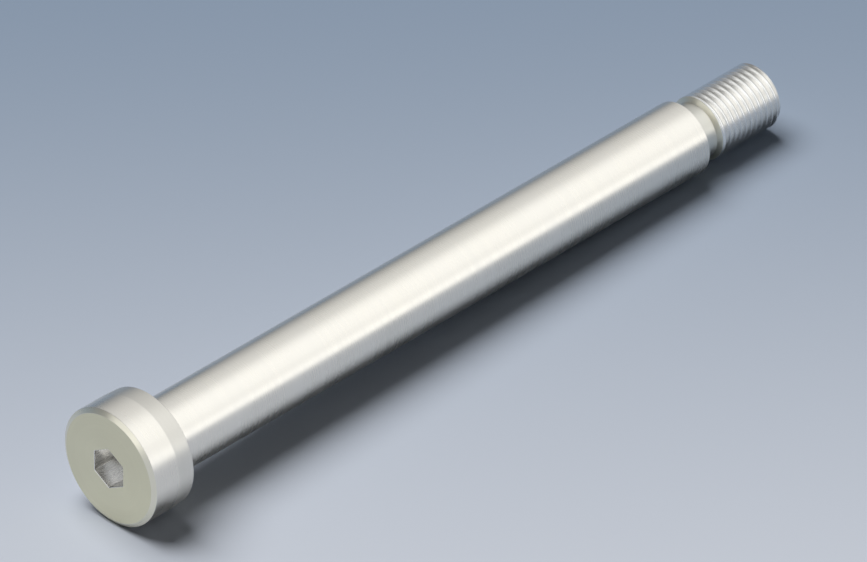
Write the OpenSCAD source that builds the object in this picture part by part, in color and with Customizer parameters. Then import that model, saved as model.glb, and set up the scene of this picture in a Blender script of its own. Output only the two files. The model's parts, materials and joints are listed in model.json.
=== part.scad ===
// Shoulder bolt: a socket head, a long ground shoulder, a relief neck and a threaded end.
// It lies along +X, head at the -X end. The origin is on its axis, at the underside of the head.

/* [Head] */
// Largest diameter of the head
head_d = 13; // [12:0.5:16]
// Height of the head, from its front face to its underside
head_h = 5.5; // [5:0.5:8]
// Length of the rear part of the head, which tapers towards the shoulder
head_taper_l = 2; // [1:0.25:3]
// Angle of that taper to the axis, in degrees
head_taper_angle = 3; // [1:0.5:5]
// Radius of the fillet between the underside of the head and the shoulder
head_fillet_r = 0.3; // [0.1:0.05:0.5]

/* [Hexagon socket] */
// Width of the socket across its flats
socket_af = 4; // [3:0.5:5]
// Depth of the socket's flats, from the front face
socket_l = 3.3; // [2.5:0.1:4]
// Width of the flat ledge that is left round the drilled cone at the bottom
socket_ledge = 0.1; // [0.05:0.05:0.5]
// Full angle of that cone, in degrees
socket_cone_angle = 120; // [100:5:140]

/* [Shoulder] */
// Diameter of the shoulder
shoulder_d = 8; // [8:0.25:10]
// Length of the shoulder, from the underside of the head
shoulder_l = 75; // [10:5:120]

/* [Threaded end] */
// Diameter of the relief neck between the shoulder and the thread
neck_d = 6; // [5:0.25:6]
// Length of the relief neck
neck_l = 2; // [1:0.25:3]
// Outside diameter of the thread
thread_d = 7; // [6.5:0.25:7.5]
// Length from the end of the shoulder to the tip of the bolt
threaded_end_l = 11; // [8:0.5:20]

/* [Chamfers] */
// Size of each chamfer across the axis
chamfer_w = 0.5; // [0.2:0.05:0.8]
// Size of each chamfer along the axis
chamfer_l = 0.33; // [0.2:0.01:0.6]

/* [Hidden] */
$fn = 120;

// Radius of the underside of the head, where the taper ends
head_rear_r = head_d / 2 - head_taper_l * tan(head_taper_angle);
// Places along the axis, counted from the underside of the head
front_z = -head_h;
neck_end_z = shoulder_l + neck_l;
tip_z = shoulder_l + threaded_end_l;
// How far a shape runs into its neighbour, or past a face that it cuts
lap = 0.2;

// Half section of the turned blank: x is the radius and y the place along the axis.
module turned_outline() {
    polygon([
        [0, front_z],
        [head_d / 2 - chamfer_w, front_z],
        [head_d / 2, front_z + chamfer_l],
        [head_d / 2, -head_taper_l],
        [head_rear_r, 0],
        [shoulder_d / 2, 0],
        [shoulder_d / 2, shoulder_l],
        [neck_d / 2, shoulder_l],
        [neck_d / 2, neck_end_z],
        [thread_d / 2, neck_end_z + chamfer_l],
        [thread_d / 2, tip_z - chamfer_l],
        [thread_d / 2 - chamfer_w, tip_z],
        [0, tip_z]
    ]);
}

// Quarter-round web of metal in the corner between the head and the shoulder.
module fillet_outline() {
    translate([shoulder_d / 2, 0])
        difference() {
            translate([-lap, -lap])
                square(head_fillet_r + lap);
            translate([head_fillet_r, head_fillet_r])
                circle(head_fillet_r);
        }
}

// Hexagon broached into the front face, corners up and down, over a drilled cone.
module hexagon_socket() {
    corner_d = socket_af / cos(30);
    cone_d = socket_af - 2 * socket_ledge;
    cone_l = cone_d / 2 / tan(socket_cone_angle / 2);
    translate([0, 0, front_z - lap])
        cylinder(d = corner_d, h = socket_l + lap, $fn = 6);
    translate([0, 0, front_z + socket_l])
        cylinder(d1 = cone_d, d2 = 0, h = cone_l);
}

module shoulder_bolt() {
    color([0.68, 0.68, 0.62])
        rotate([0, 90, 0])
            difference() {
                rotate_extrude() {
                    turned_outline();
                    fillet_outline();
                }
                hexagon_socket();
            }
}

shoulder_bolt();
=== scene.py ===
"""Looks of a shoulder bolt: one turned steel piece with its real thread, lying on a pale floor."""

import json
import math

import bmesh
import bpy
import numpy as np
from mathutils import Matrix, Vector


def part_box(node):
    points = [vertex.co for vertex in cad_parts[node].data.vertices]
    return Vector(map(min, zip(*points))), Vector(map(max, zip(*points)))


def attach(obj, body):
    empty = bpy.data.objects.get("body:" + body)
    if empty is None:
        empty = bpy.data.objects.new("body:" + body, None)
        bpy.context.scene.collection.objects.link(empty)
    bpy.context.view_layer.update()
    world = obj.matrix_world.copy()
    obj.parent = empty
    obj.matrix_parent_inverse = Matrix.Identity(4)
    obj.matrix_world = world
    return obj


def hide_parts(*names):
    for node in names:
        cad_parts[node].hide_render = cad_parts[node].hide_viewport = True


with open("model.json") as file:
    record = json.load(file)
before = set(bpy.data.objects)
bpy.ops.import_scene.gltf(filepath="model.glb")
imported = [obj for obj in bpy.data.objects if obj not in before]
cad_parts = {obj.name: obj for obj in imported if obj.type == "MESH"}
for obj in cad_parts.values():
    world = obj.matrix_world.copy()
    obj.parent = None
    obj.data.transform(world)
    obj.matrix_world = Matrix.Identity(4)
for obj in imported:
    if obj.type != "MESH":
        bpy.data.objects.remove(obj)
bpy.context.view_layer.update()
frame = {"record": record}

# Lengths are in millimetres up to the places where a mesh, lamp or camera is made. These are a
# millimetre and a micrometre in metres.
MM = 0.001
UM = 1e-6
mounts = {mount["name"]: mount for mount in frame["record"]["mounts"]}
cad_low, cad_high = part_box("shoulder_bolt")


def mount_radius(name):
    return mounts[name]["dims"]["r_mm"]


def mount_length(name):
    return mounts[name]["dims"]["length_mm"]


def mount_x(name):
    """Where a mount is along the bolt's axis."""
    return mounts[name]["pos_m"][0] / MM


# Sizes that the frame gives
FRONT_X = cad_low.x / MM
TIP_X = cad_high.x / MM
MIDDLE_X = (FRONT_X + TIP_X) / 2
UNDER_HEAD_X = mount_x("under_head")
SHOULDER_END_X = mount_x("shoulder_end")
HEAD_R = mount_radius("head_rim")
SHOULDER_R = mount_radius("shoulder")
THREAD_R = mount_radius("thread")
THREAD_START_X = mount_x("thread") - mount_length("thread") / 2
THREAD_END_X = mount_x("thread") + mount_length("thread") / 2

# Sizes that follow from them. The thread's straight part ends where its chamfers start, the
# shoulder's where the fillet starts, and the rim's is between the head's chamfer and its taper.
CHAMFER_L = TIP_X - THREAD_END_X
NECK_END_X = THREAD_START_X - CHAMFER_L
HEAD_FILLET_R = SHOULDER_END_X - UNDER_HEAD_X - mount_length("shoulder")
TAPER_START_X = FRONT_X + CHAMFER_L + mount_length("head_rim")

# Sizes that the frame leaves out, as they are in the part's source, and those of the helical thread
CHAMFER_W = 0.5
HEAD_TAPER_ANGLE = math.radians(3.0)
NECK_R = 3.0
SOCKET_AF = 4.0
SOCKET_L = 3.3
SOCKET_LEDGE = 0.1
SOCKET_CONE_ANGLE = math.radians(120.0)
THREAD_PITCH = 0.75
THREAD_RUN_OUT_L = 0.6

# Radii of the edges, and of the socket's corners
EDGE_R = 0.06
SOCKET_EDGE_R = 0.05
SOCKET_CORNER_R = 0.08
CREST_EDGE_R = 0.02

# Columns of the mesh round the axis: a multiple of 12, so that each corner of the hexagon has one
COLUMNS = 192
ANGLES = np.arange(COLUMNS) * 2 * math.pi / COLUMNS

# The largest step on an arc of an outline, and how many steps the other arcs and the flanks have
ARC_STEP = math.radians(18)
SOCKET_CORNER_STEPS = 2
SOCKET_EDGE_STEPS = 3
FLANK_STEPS = 4
ROOT_STEPS = 3

# Points closer than this become one.
MERGE_L = 1e-4
# Room between two islands of the UV map
UV_GAP = 0.6


# Outlines, and the rings of points that the mesh joins one to the next

def rounded(corners):
    """The arcs at the corners (x, radius, edge radius) between the first corner and the last."""
    arcs = []
    for before, corner, after in zip(corners, corners[1:], corners[2:]):
        here = np.array(corner[:2])
        back = np.array(before[:2]) - here
        ahead = np.array(after[:2]) - here
        back /= np.linalg.norm(back)
        ahead /= np.linalg.norm(ahead)
        half_angle = math.acos(np.clip(back @ ahead, -1, 1)) / 2
        bisector = (back + ahead) / np.linalg.norm(back + ahead)
        centre = here + bisector * corner[2] / math.sin(half_angle)
        spoke = here + back * corner[2] / math.tan(half_angle) - centre
        turn = math.copysign(math.pi - 2 * half_angle, ahead[0] * back[1] - ahead[1] * back[0])
        angles = np.linspace(0, turn, max(1, math.ceil(abs(turn) / ARC_STEP)) + 1)
        sideways = np.array([-spoke[1], spoke[0]])
        arcs.append(centre + np.outer(np.cos(angles), spoke) + np.outer(np.sin(angles), sideways))
    return arcs


def ring(x, radius):
    """A circle of points round the axis. x and radius may differ from column to column."""
    return np.stack([x + 0 * ANGLES, radius * np.cos(ANGLES), radius * np.sin(ANGLES)], axis=1)


def rings(*outlines):
    """A circle for each point (x, radius) of the outlines."""
    return [ring(x, radius) for x, radius in np.concatenate(outlines)]


def hexagon(x, across_flats, corner_r):
    """A ring of points on a hexagon with corners up and down, each rounded by corner_r."""
    sixth = math.pi / 3
    reach = across_flats / 2 / math.cos(sixth / 2) - corner_r / math.sin(sixth)
    flat_steps = COLUMNS // 6 - 2 * SOCKET_CORNER_STEPS

    def half_corner(corner_angle, first_normal):
        normals = np.linspace(first_normal, first_normal + sixth / 2, SOCKET_CORNER_STEPS + 1)
        centre = reach * np.array([math.cos(corner_angle), math.sin(corner_angle)])
        return centre + corner_r * np.column_stack([np.cos(normals), np.sin(normals)])

    points = []
    for side in range(6):
        here = sixth / 2 + side * sixth
        leaving = half_corner(here, here)
        arriving = half_corner(here + sixth, here + sixth / 2)
        flat = np.linspace(leaving[-1], arriving[0], flat_steps + 1)
        points += [leaving[:-1], flat[:-1], arriving[:-1]]
    # The first point is in a corner, at 30 degrees. After the roll it is at 0, as in a circle.
    outline = np.roll(np.concatenate(points), COLUMNS // 12, axis=0)
    return np.column_stack([np.full(COLUMNS, x), outline])


def socket_rings(first_angle, last_angle, x, grows):
    """Hexagons on the small arc between a face at x and the walls of the socket.

    grows is 1 at the mouth, where they grow towards the face, and -1 at the bottom, where they
    shrink towards it.
    """
    result = []
    for angle in np.linspace(first_angle, last_angle, SOCKET_EDGE_STEPS + 1):
        wider = grows * SOCKET_EDGE_R * (1 - math.sin(angle))
        deeper = grows * SOCKET_EDGE_R * (1 - math.cos(angle))
        result.append(hexagon(x + deeper, SOCKET_AF + 2 * wider, SOCKET_CORNER_R + wider / 2))
    return result


def thread_profile():
    """Points (place, depth) over one pitch, from the middle of one crest to the middle of the next.

    Flanks at 60 degrees to the axis make a sharp V. An eighth of its height is cut off at the
    crest. An arc with a sixth of it as radius rounds the root.
    """
    flank_angle = math.pi / 3
    sharp_height = THREAD_PITCH / 2 * math.tan(flank_angle)
    root_r = sharp_height / 6
    # The root's arc touches both flanks, so its centre is two radii from the point of the V.
    root_centre_depth = sharp_height * 7 / 8 - 2 * root_r
    crest_half = THREAD_PITCH / 16
    down_the_flank = (crest_half + 1, math.tan(flank_angle), 0)
    crest_edge = rounded([(0, 0, 0), (crest_half, 0, CREST_EDGE_R), down_the_flank])[0]
    root_angles = np.linspace(flank_angle, 0, ROOT_STEPS + 1)
    root = np.column_stack([
        THREAD_PITCH / 2 - root_r * np.sin(root_angles),
        root_centre_depth + root_r * np.cos(root_angles),
    ])
    flank = np.linspace(crest_edge[-1], root[0], FLANK_STEPS + 1)[1:-1]
    half = np.concatenate([[(0, 0)], crest_edge, flank, root])
    other_half = half[-2:0:-1] * (-1, 1) + (THREAD_PITCH, 0)
    return np.concatenate([half, other_half])


def thread_rings(profile, start_x, end_x):
    """Rings on a right-hand helix between two plain circles.

    From the first circle the thread gets deeper over its run-out. The last one is on the tip's
    chamfer, which cuts the crests down.
    """
    climb = THREAD_PITCH * np.arange(COLUMNS) / COLUMNS
    # Two turns start before the first circle. The first of them lies wholly on it, and closes it.
    turns_before = 2
    turns = math.ceil((end_x - start_x) / THREAD_PITCH) + turns_before + 1
    result = []
    for turn in range(turns):
        turn_x = start_x + (turn - turns_before) * THREAD_PITCH
        for place, depth in profile:
            x = np.clip(turn_x + place + climb, start_x, end_x)
            share = np.minimum((x - start_x) / THREAD_RUN_OUT_L, 1)
            cone_r = THREAD_R - CHAMFER_W * (1 - np.minimum((TIP_X - x) / CHAMFER_L, 1))
            result.append(ring(x, np.minimum(THREAD_R - depth * share, cone_r)))
    return result


class Skin:
    """Rings joined into one skin, in patches. Each has a finish, and an island of the UV map."""

    def __init__(self, first_ring):
        self.rings = [first_ring]
        self.climb = [0]
        self.patches = []

    def add(self, new_rings, finish, flat=False, climb=0):
        """Adds a patch up to the last of new_rings.

        The island of a flat patch is its view along the axis, and any other island is unrolled.
        climb is how many rings make a turn of a helix.
        """
        first = len(self.rings) - 1
        self.rings += new_rings
        self.climb += [climb] * len(new_rings)
        self.patches.append((first, len(self.rings) - 1, finish, flat))

    def corners(self):
        """Ring and column of the corners of each face, in arrays of row, column and corner."""
        rows = np.arange(len(self.rings) - 1)
        row, column = np.meshgrid(rows, np.arange(COLUMNS), indexing="ij")
        ring_index = np.stack([row, row, row + 1, row + 1], axis=2)
        column_index = np.stack([column, column + 1, column + 1, column], axis=2)
        # Past the last column a helix goes on at the first one, a turn further on.
        climb = np.array(self.climb)
        helix_end = np.flatnonzero(climb)[-1]
        further = np.minimum(ring_index + climb[ring_index], helix_end)
        wraps = (column_index == COLUMNS) & (climb[ring_index] > 0)
        return np.where(wraps, further, ring_index), column_index

    def islands(self, ring_index, column_index):
        """First row, last row and UV coordinates in millimetres of each patch."""
        points = np.array(self.rings)
        radius = np.hypot(points[..., 1], points[..., 2])
        steps = np.hypot(np.diff(points[..., 0], axis=0), np.diff(radius, axis=0))
        length = np.concatenate([np.zeros((1, COLUMNS)), np.cumsum(steps, axis=0)])
        result = []
        for first, last, finish, flat in self.patches:
            at = ring_index[first:last], column_index[first:last] % COLUMNS
            if flat:
                uv = points[at][..., 1:]
            else:
                circumference = 2 * math.pi * radius[first:last + 1].max()
                around = column_index[first:last] * circumference / COLUMNS
                uv = np.stack([length[at], around], axis=3)
            uv = uv - uv.min(axis=(0, 1, 2))
            # A strip that is over three times as high as wide lies along the map.
            if 3 * uv[..., 0].max() < uv[..., 1].max():
                uv = uv[..., ::-1]
            result.append((first, last, uv))
        return result

    def uv_map(self, ring_index, column_index):
        """The islands side by side on shelves, the highest first, and scaled to fill the map."""
        islands = self.islands(ring_index, column_index)
        islands.sort(key=lambda island: -island[2][..., 1].max())
        map_width = UV_GAP + max(uv[..., 0].max() for first, last, uv in islands)
        placed = np.zeros(ring_index.shape + (2,))
        x = shelf_y = next_shelf_y = 0
        for first, last, uv in islands:
            width, height = uv.max(axis=(0, 1, 2)) + UV_GAP
            if x + width > map_width:
                x, shelf_y = 0, next_shelf_y
            placed[first:last] = uv + (x + UV_GAP / 2, shelf_y + UV_GAP / 2)
            x += width
            next_shelf_y = max(next_shelf_y, shelf_y + height)
        return placed / (map_width, next_shelf_y)

    def mesh(self, name):
        """The skin as a closed mesh, in which points that coincide are one."""
        ring_index, column_index = self.corners()
        points = np.concatenate(self.rings) * MM
        faces = (ring_index * COLUMNS + column_index % COLUMNS).reshape(-1, 4)
        row_finishes = [[finish] * (last - first) for first, last, finish, flat in self.patches]
        data = bpy.data.meshes.new(name)
        data.from_pydata(points.tolist(), [], faces.tolist())
        material_of_face = np.repeat(np.concatenate(row_finishes), COLUMNS)
        data.polygons.foreach_set("material_index", material_of_face)
        uv_layer = data.uv_layers.new(name="OFBake")
        uv_layer.uv.foreach_set("vector", self.uv_map(ring_index, column_index).ravel())
        work = bmesh.new()
        work.from_mesh(data)
        bmesh.ops.remove_doubles(work, verts=work.verts, dist=MERGE_L * MM)
        bmesh.ops.dissolve_degenerate(work, edges=work.edges, dist=MERGE_L * MM)
        bmesh.ops.recalc_face_normals(work, faces=work.faces)
        work.to_mesh(data)
        work.free()
        return data


def shade_by_area(data):
    """Smooth shading, with normals weighted by face area to keep faces flat beside small arcs."""
    data.polygons.foreach_set("use_smooth", [True] * len(data.polygons))
    vertex_of_corner = np.empty(len(data.loops), int)
    corner_count = np.empty(len(data.polygons), int)
    normals = np.empty(len(data.polygons) * 3)
    areas = np.empty(len(data.polygons))
    data.loops.foreach_get("vertex_index", vertex_of_corner)
    data.polygons.foreach_get("loop_total", corner_count)
    data.polygons.foreach_get("normal", normals)
    data.polygons.foreach_get("area", areas)
    weighted = np.repeat(normals.reshape(-1, 3) * areas[:, None], corner_count, axis=0)
    summed = np.zeros((len(data.vertices), 3))
    np.add.at(summed, vertex_of_corner, weighted)
    summed /= np.linalg.norm(summed, axis=1, keepdims=True)
    data.normals_split_custom_set_from_vertices(summed.tolist())


# The finishes, which are also the indices of the bolt's materials
GROUND, TURNED, TAPERED, CHAMFERED, FACED, SQUARED, NECKED, BROACHED, DRILLED, THREADED = range(10)


def bolt_mesh():
    """The skin, from the tip of the socket's cone over head and shoulder to the end face."""
    cone_r = SOCKET_AF / 2 - SOCKET_LEDGE
    socket_end_x = FRONT_X + SOCKET_L
    cone_tip_x = socket_end_x + cone_r / math.tan(SOCKET_CONE_ANGLE / 2)
    head_rear_r = HEAD_R - (UNDER_HEAD_X - TAPER_START_X) * math.tan(HEAD_TAPER_ANGLE)
    (
        face_edge, rim_edge, taper_edge, rear_edge, fillet,
        shoulder_edge, neck_start, neck_end, thread_edge,
    ) = rounded([
        (FRONT_X, 0, 0),
        (FRONT_X, HEAD_R - CHAMFER_W, EDGE_R),
        (FRONT_X + CHAMFER_L, HEAD_R, EDGE_R),
        (TAPER_START_X, HEAD_R, EDGE_R),
        (UNDER_HEAD_X, head_rear_r, EDGE_R),
        (UNDER_HEAD_X, SHOULDER_R, HEAD_FILLET_R),
        (SHOULDER_END_X, SHOULDER_R, EDGE_R),
        (SHOULDER_END_X, NECK_R, EDGE_R),
        (NECK_END_X, NECK_R, EDGE_R),
        (THREAD_START_X, THREAD_R, EDGE_R),
        (TIP_X, THREAD_R, 0),
    ])
    tip_edge = rounded([
        (THREAD_END_X, THREAD_R, 0),
        (TIP_X, THREAD_R - CHAMFER_W, EDGE_R),
        (TIP_X, 0, 0),
    ])[0]
    socket_bottom = socket_rings(0, math.pi / 2, socket_end_x, -1)
    socket_mouth = socket_rings(math.pi / 2, 0, FRONT_X, 1)
    profile = thread_profile()
    thread = thread_rings(profile, thread_edge[-1][0], tip_edge[0][0])

    skin = Skin(ring(cone_tip_x, 0))
    skin.add([ring(socket_end_x, cone_r), socket_bottom[0]], DRILLED, flat=True)
    skin.add(socket_bottom[1:] + socket_mouth, BROACHED)
    skin.add(rings(face_edge[:1]), FACED, flat=True)
    skin.add(rings(face_edge[1:], rim_edge[:1]), CHAMFERED)
    skin.add(rings(rim_edge[1:], taper_edge[:1]), TURNED)
    skin.add(rings(taper_edge[1:], rear_edge), TAPERED)
    skin.add(rings(fillet[:1]), SQUARED, flat=True)
    skin.add(rings(fillet[1:], shoulder_edge), GROUND)
    skin.add(rings(neck_start[:1]), SQUARED, flat=True)
    skin.add(rings(neck_start[1:], neck_end), NECKED)
    skin.add(rings(thread_edge), CHAMFERED)
    skin.add(thread, THREADED, climb=len(profile))
    skin.add(rings(tip_edge[1:]) + [ring(TIP_X, NECK_R / 2), ring(TIP_X, 0)], SQUARED, flat=True)
    data = skin.mesh("bolt")
    shade_by_area(data)
    return data


bolt = bpy.data.objects.new("bolt", bolt_mesh())
bpy.context.scene.collection.objects.link(bolt)
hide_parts("shoulder_bolt")
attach(bolt, "root")


# Materials

class Nodes:
    """Short forms for the nodes of one material or world."""

    def __init__(self, owner):
        owner.use_nodes = True
        self.tree = owner.node_tree
        self.of_name = owner.node_tree.nodes

    def add(self, kind, *inputs, output=0, **settings):
        """A node whose inputs are values, linked outputs, or None for what it has already."""
        node = self.tree.nodes.new("ShaderNode" + kind)
        for name, value in settings.items():
            setattr(node, name, value)
        for socket, value in zip(node.inputs, inputs):
            if isinstance(value, bpy.types.NodeSocket):
                self.link(value, socket)
            elif value is not None:
                socket.default_value = value
        return node.outputs[output]

    def link(self, output, socket):
        self.tree.links.new(output, socket)

    def math(self, operation, first, second=None):
        return self.add("Math", first, second, operation=operation)

    def total(self, first, *others):
        for other in others:
            first = self.math("ADD", first, other)
        return first

    def squared(self, value):
        return self.math("POWER", value, 2.0)

    def scaled(self, vector, factors):
        return self.add("VectorMath", vector, factors, operation="MULTIPLY")

    def unit(self, vector):
        return self.add("VectorMath", vector, operation="NORMALIZE")

    def along(self, vector, direction):
        """How far vector goes in that direction."""
        return self.add("VectorMath", vector, direction, operation="DOT_PRODUCT", output="Value")

    def in_millimetres(self):
        """Where a point is on its object."""
        return self.scaled(self.add("TexCoord", output="Object"), (1 / MM,) * 3)

    def noise(self, vector, detail, roughness=0.5):
        """Noise from 0 to 1 with grains about one unit of vector wide."""
        return self.add("TexNoise", vector, None, 1.0, detail, roughness)

    def spread(self, value, low, high):
        """value from 0 to 1, as a number from low to high."""
        return self.add("MapRange", value, 0.0, 1.0, low, high)

    def ramp(self, value, near, far, level=1.0):
        """0 up to near, then a soft rise to level at far."""
        return self.add("MapRange", value, near, far, 0.0, level, interpolation_type="SMOOTHSTEP")

    def mixed(self, factor, first, second):
        """The colour between two. The Mix node has its colours in inputs 6 and 7 and output 2."""
        node = self.tree.nodes.new("ShaderNodeMix")
        node.data_type = "RGBA"
        self.link(factor, node.inputs[0])
        node.inputs[6].default_value = first
        node.inputs[7].default_value = second
        return node.outputs[2]


ROUND, CONCENTRIC, LENGTHWISE = range(3)

# How many bands and clouds of tone there are in a millimetre, and how high the grooves of a turning
# tool are against the scratches
BANDS_PER_MM = 1.3
BROACHED_BANDS_PER_MM = 2.0
CLOUDS_PER_MM = 0.16
GROOVE_SHARE = 0.35

# What a tint is multiplied by at tone 0 and at tone 1
DARKEST = (0.90, 0.89, 0.86)
LIGHTEST = (1.06, 1.06, 1.07)

# What scratches, bands and clouds add to the tone, and how far they move the roughness either way
SCRATCH_TONE = (-0.20, 0.20)
BAND_TONE = (0.15, 0.50)
CLOUD_TONE = (-0.15, 0.50)
SCRATCH_ROUGHNESS = 0.05
BAND_ROUGHNESS = 0.04
CLOUD_ROUGHNESS = 0.04

ANISOTROPY = 0.5
QUARTER_TURN = 0.25


def steel(name, tint, roughness, marks, marks_per_mm, depth_um, feed=0.0, ends_per_mm=0.15):
    """Steel with the fine marks of its tool.

    marks says how they run: round the axis, in circles on a flat face, or along the axis.
    marks_per_mm is how many there are across their run, and ends_per_mm how many along it.
    depth_um is how deep they are, in micrometres, and feed is the distance between the grooves
    of a turning tool, in millimetres.
    """
    material = bpy.data.materials.new(name)
    nodes = Nodes(material)
    place = nodes.in_millimetres()
    x, y, z = nodes.add("SeparateXYZ", place).node.outputs
    if marks == CONCENTRIC:
        across = nodes.math("SQRT", nodes.total(nodes.squared(y), nodes.squared(z)))
    else:
        across = x
    if marks == LENGTHWISE:
        run = nodes.scaled(place, (ends_per_mm, marks_per_mm, marks_per_mm))
        wide_run = nodes.scaled(place, (ends_per_mm, BROACHED_BANDS_PER_MM, BROACHED_BANDS_PER_MM))
    else:
        turned_place = nodes.add("CombineXYZ", across, y, z)
        band_ends_per_mm = ends_per_mm / 3
        run = nodes.scaled(turned_place, (marks_per_mm, ends_per_mm, ends_per_mm))
        wide_run = nodes.scaled(turned_place, (BANDS_PER_MM, band_ends_per_mm, band_ends_per_mm))
    scratches = nodes.noise(run, detail=3.0, roughness=0.65)
    bands = nodes.noise(wide_run, detail=2.0, roughness=0.6)
    clouds = nodes.noise(nodes.scaled(place, (CLOUDS_PER_MM,) * 3), detail=2.0)
    height = scratches
    if feed:
        groove = nodes.math("SINE", nodes.math("MULTIPLY", across, 2 * math.pi / feed))
        height = nodes.total(scratches, nodes.math("MULTIPLY", groove, GROOVE_SHARE))
    bump = nodes.add("Bump", 1.0, depth_um * UM, None, height)

    dark, light = [(*np.multiply(tint, shade), 1) for shade in (DARKEST, LIGHTEST)]
    tone = nodes.total(
        nodes.spread(scratches, *SCRATCH_TONE),
        nodes.spread(bands, *BAND_TONE),
        nodes.spread(clouds, *CLOUD_TONE),
    )
    gloss = nodes.total(
        nodes.spread(scratches, -SCRATCH_ROUGHNESS, SCRATCH_ROUGHNESS),
        nodes.spread(bands, -BAND_ROUGHNESS, BAND_ROUGHNESS),
        nodes.spread(clouds, roughness - CLOUD_ROUGHNESS, roughness + CLOUD_ROUGHNESS),
    )

    # Gloss is drawn out across the marks: along the tangent, which runs round the axis, where they
    # are lengthwise, and a quarter turn from it elsewhere.
    tangent = nodes.add("Tangent", direction_type="RADIAL", axis="X")
    rotation = 0.0 if marks == LENGTHWISE else QUARTER_TURN
    shader = nodes.of_name["Principled BSDF"]
    shader.inputs["Metallic"].default_value = 1.0
    shader.inputs["Anisotropic"].default_value = ANISOTROPY
    shader.inputs["Anisotropic Rotation"].default_value = rotation
    nodes.link(nodes.mixed(tone, dark, light), shader.inputs["Base Color"])
    nodes.link(gloss, shader.inputs["Roughness"])
    nodes.link(bump, shader.inputs["Normal"])
    nodes.link(tangent, shader.inputs["Tangent"])
    return material


BRIGHT_STEEL = (0.855, 0.825, 0.76)
# The cream tint of the chamfers is painted light: it stands in for the warm light on them.
PALE_LIGHT_STEEL = (0.86, 0.83, 0.70)
# The warmer, darker tint of the head's front face is painted light: it stands in for the yellowish
# light on the face.
WARM_LIGHT_STEEL = (0.80, 0.765, 0.575)
DULL_STEEL = (0.77, 0.755, 0.69)
GREY_STEEL = (0.81, 0.785, 0.725)
# The lightest tint, for the socket and the thread, is painted light: it lifts them out of the shade
# inside the socket and in the thread's grooves.
SHADE_LIFTED_STEEL = (0.94, 0.93, 0.905)
finishes = {
    GROUND: steel(
        "ground_steel", BRIGHT_STEEL, roughness=0.28,
        marks=ROUND, marks_per_mm=22.0, depth_um=0.3, ends_per_mm=0.12,
    ),
    TURNED: steel(
        "turned_steel", BRIGHT_STEEL, roughness=0.29,
        marks=ROUND, marks_per_mm=12.0, depth_um=0.8, feed=0.12,
    ),
    TAPERED: steel(
        "tapered_steel", GREY_STEEL, roughness=0.36,
        marks=ROUND, marks_per_mm=12.0, depth_um=1.2, feed=0.16,
    ),
    # The chamfers and the front face take tints of painted warm light.
    CHAMFERED: steel(
        "chamfered_steel", PALE_LIGHT_STEEL, roughness=0.30,
        marks=ROUND, marks_per_mm=12.0, depth_um=0.6,
    ),
    FACED: steel(
        "faced_steel", WARM_LIGHT_STEEL, roughness=0.34,
        marks=CONCENTRIC, marks_per_mm=12.0, depth_um=1.0, feed=0.14,
    ),
    SQUARED: steel(
        "squared_steel", DULL_STEEL, roughness=0.34,
        marks=CONCENTRIC, marks_per_mm=12.0, depth_um=1.0, feed=0.14,
    ),
    # The neck's darker tint is partly the duller finish of a grooving tool and partly painted shade
    # in its recess.
    NECKED: steel(
        "necked_steel", DULL_STEEL, roughness=0.38,
        marks=ROUND, marks_per_mm=12.0, depth_um=1.5, feed=0.16,
    ),
    # The socket's walls and drilled cone are painted lighter, against the shade inside the socket.
    BROACHED: steel(
        "broached_steel", SHADE_LIFTED_STEEL, roughness=0.26,
        marks=LENGTHWISE, marks_per_mm=9.0, depth_um=0.6,
    ),
    DRILLED: steel(
        "drilled_steel", SHADE_LIFTED_STEEL, roughness=0.30,
        marks=CONCENTRIC, marks_per_mm=10.0, depth_um=1.0, feed=0.2,
    ),
    # The thread is painted lighter, against the shade in its grooves.
    THREADED: steel(
        "threaded_steel", SHADE_LIFTED_STEEL, roughness=0.24,
        marks=ROUND, marks_per_mm=18.0, depth_um=0.3,
    ),
}
for finish in sorted(finishes):
    bolt.data.materials.append(finishes[finish])


# The floor and the room are pale on the camera's side of the bolt and a little deeper beyond it.
# The floor's change is between two distances in millimetres, the room's between two cosines.

PALE = (0.57, 0.60, 0.66, 1)
DEEP = (0.228, 0.291, 0.384, 1)
BEYOND = Vector((1, 1, 0)).normalized()
FLOOR_CHANGE = (-70.0, 75.0)
ROOM_CHANGE = (-0.12, 0.15)


def pale_to_deep(nodes, place, near, far):
    """The colour at a place: pale up to near, and deep from far, as counted towards BEYOND."""
    return nodes.mixed(nodes.ramp(nodes.along(place, BEYOND), near, far), PALE, DEEP)


# The bolt lies on the rear edge of the head's rim and on the end of the shoulder.
REST_START = Vector((TAPER_START_X, 0, -HEAD_R))
REST_END = Vector((SHOULDER_END_X, 0, -SHOULDER_R))
FLOOR_R = 3000.0
FLOOR_SIDES = 256
rest_line = REST_END - REST_START
bpy.ops.mesh.primitive_circle_add(vertices=FLOOR_SIDES, radius=FLOOR_R * MM, fill_type="NGON")
floor = bpy.context.object
floor.name = "floor"
floor.matrix_world = (
    Matrix.Translation(REST_START * MM)
    @ Matrix.Rotation(-math.atan2(rest_line.z, rest_line.x), 4, "Y")
    @ Matrix.Translation(Vector(((MIDDLE_X - REST_START.x) * MM, 0, 0)))
)
floor_paint = bpy.data.materials.new("floor_paint")
floor_nodes = Nodes(floor_paint)
floor_colour = pale_to_deep(floor_nodes, floor_nodes.in_millimetres(), *FLOOR_CHANGE)
floor_shader = floor_nodes.of_name["Principled BSDF"]
floor_shader.inputs["Roughness"].default_value = 0.9
floor_shader.inputs["Specular IOR Level"].default_value = 0.0
floor_nodes.link(floor_colour, floor_shader.inputs["Base Color"])
floor.data.materials.append(floor_paint)


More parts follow.
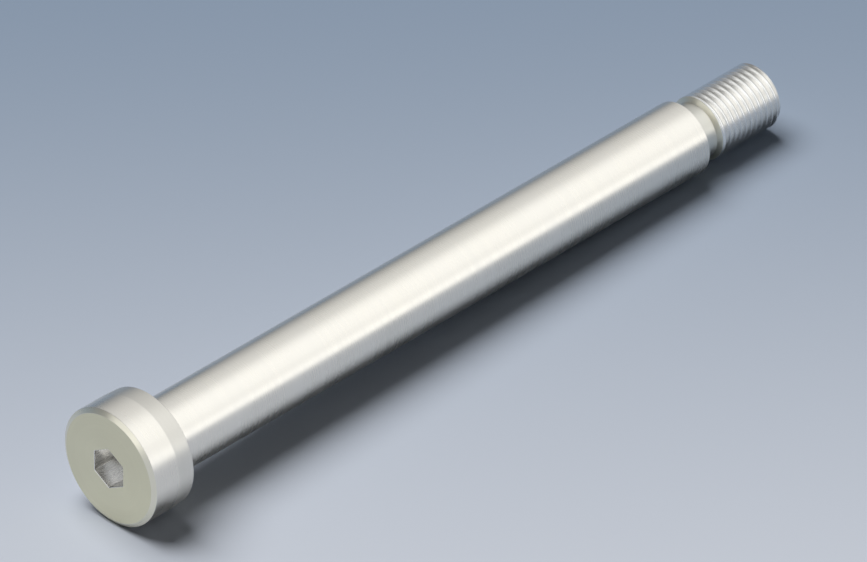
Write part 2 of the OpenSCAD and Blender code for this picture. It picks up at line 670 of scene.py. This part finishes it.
# The world is the room that the metal mirrors, and diffuse rays find a plain fill instead. Up to
# the horizon the room has the floor's colours, and OVERHEAD it passes into a grey ceiling with soft
# lights: a strip parallel to the bolt on its -Y side, a broad glow past its tip, a glow in front of
# its head, and a low one at the horizon. WEAKER takes most of their level away towards +X.
#
# Each of the six below grows with the cosine between a ray and its direction towards: from
# nothing at near to its level at far.

FILL = (0.95, 0.98, 1.0, 1)
FILL_LEVEL = 0.04
CEILING = (0.244, 0.249, 0.254, 1)
LIGHT = (0.975, 0.99, 1.0, 1)
OVERHEAD = {"towards": (0, 0, 1), "near": 0.0, "far": 0.18, "level": 1.0}
STRIP = {"towards": (0, -0.643, 0.766), "near": 0.42, "far": 0.94, "level": 0.47}
BROAD = {"towards": (0.90, -0.08, 0.42), "near": 0.58, "far": 0.96, "level": 0.77}
FRONT = {"towards": (-0.92, 0.20, 0.33), "near": 0.87, "far": 0.97, "level": 0.80}
LOW = {"towards": (0.577, -0.816, 0), "near": 0.88, "far": 0.99, "level": 0.60}
WEAKER = {"towards": (1, 0, 0), "near": 0.60, "far": 0.76, "level": 0.75}
# The broad glow is wider across the bolt by one over this.
BROAD_SQUEEZE = 0.6

world = bpy.data.worlds.new("studio")
bpy.context.scene.world = world
room_nodes = Nodes(world)


def level_at(vector, towards, near, far, level):
    """The level of one of the six for a ray along vector."""
    cosine = room_nodes.along(vector, Vector(towards).normalized())
    return room_nodes.ramp(cosine, near, far, level)


ray = room_nodes.add("TexCoord", output="Generated")
across_bolt = room_nodes.unit(room_nodes.scaled(ray, (0, 1, 1)))
squeezed = room_nodes.unit(room_nodes.scaled(ray, (1, BROAD_SQUEEZE, BROAD_SQUEEZE)))
all_lights = room_nodes.total(
    level_at(across_bolt, **STRIP),
    level_at(squeezed, **BROAD),
    level_at(ray, **FRONT),
    level_at(ray, **LOW),
)
lost = room_nodes.math("MULTIPLY", all_lights, level_at(ray, **WEAKER))
lights = room_nodes.add("Background", LIGHT, room_nodes.math("SUBTRACT", all_lights, lost))
ceiling = room_nodes.add("AddShader", room_nodes.add("Background", CEILING, 1.0), lights)
room = room_nodes.add("Background", pale_to_deep(room_nodes, ray, *ROOM_CHANGE), 1.0)
surroundings = room_nodes.add("MixShader", level_at(ray, **OVERHEAD), room, ceiling)
fill = room_nodes.add("Background", FILL, FILL_LEVEL)
path = room_nodes.add("LightPath").node.outputs
seen = room_nodes.math("MAXIMUM", path["Is Camera Ray"], path["Is Glossy Ray"])
seen = room_nodes.math("MAXIMUM", seen, path["Is Transmission Ray"])
by_path = room_nodes.add("MixShader", seen, fill, surroundings)
room_nodes.link(by_path, room_nodes.of_name["World Output"].inputs["Surface"])


def turned_to_bolt(name, data, towards, distance):
    """A lamp or camera in that direction from the bolt's middle, looking back at it."""
    away = Vector(towards).normalized()
    thing = bpy.data.objects.new(name, data)
    bpy.context.scene.collection.objects.link(thing)
    thing.location = (Vector((MIDDLE_X, 0, 0)) + away * distance) * MM
    thing.rotation_mode = "QUATERNION"
    thing.rotation_quaternion = away.to_track_quat("Z", "Y")
    return thing


# The key is a far lamp with a soft edge. It lights the floor evenly, and the shadow falls towards
# -Y. The metal mirrors the room's lights, and not the key.

KEY_LEVEL = 3.30
KEY_ANGLE = math.radians(45)
KEY_FROM = (-0.10, 0.38, 0.90)
KEY_DISTANCE = 1500
key_lamp = bpy.data.lights.new("key", "SUN")
key_lamp.energy = KEY_LEVEL
key_lamp.angle = KEY_ANGLE
turned_to_bolt("key", key_lamp, KEY_FROM, KEY_DISTANCE).visible_glossy = False

# The camera has a long lens and looks from -X, -Y and above, at equal angles to the three axes.
# VIEW_W is the picture's width at the bolt, and AIM_X the place on the axis that is in its middle.

CAMERA_FROM = (-1, -1, 1)
SENSOR_W = 36.0
LENS = 1000.0
VIEW_W = 86.32
AIM_X = 39.75
CLIP_START = 100.0
CLIP_END = 20000.0
camera_data = bpy.data.cameras.new("camera")
camera_data.sensor_width = SENSOR_W
camera_data.lens = LENS
camera_data.clip_start = CLIP_START * MM
camera_data.clip_end = CLIP_END * MM
camera = turned_to_bolt("camera", camera_data, CAMERA_FROM, VIEW_W * LENS / SENSOR_W)
camera.location.x += (AIM_X - MIDDLE_X) * MM
bpy.context.scene.camera = camera
bpy.context.scene.view_settings.view_transform = "Standard"
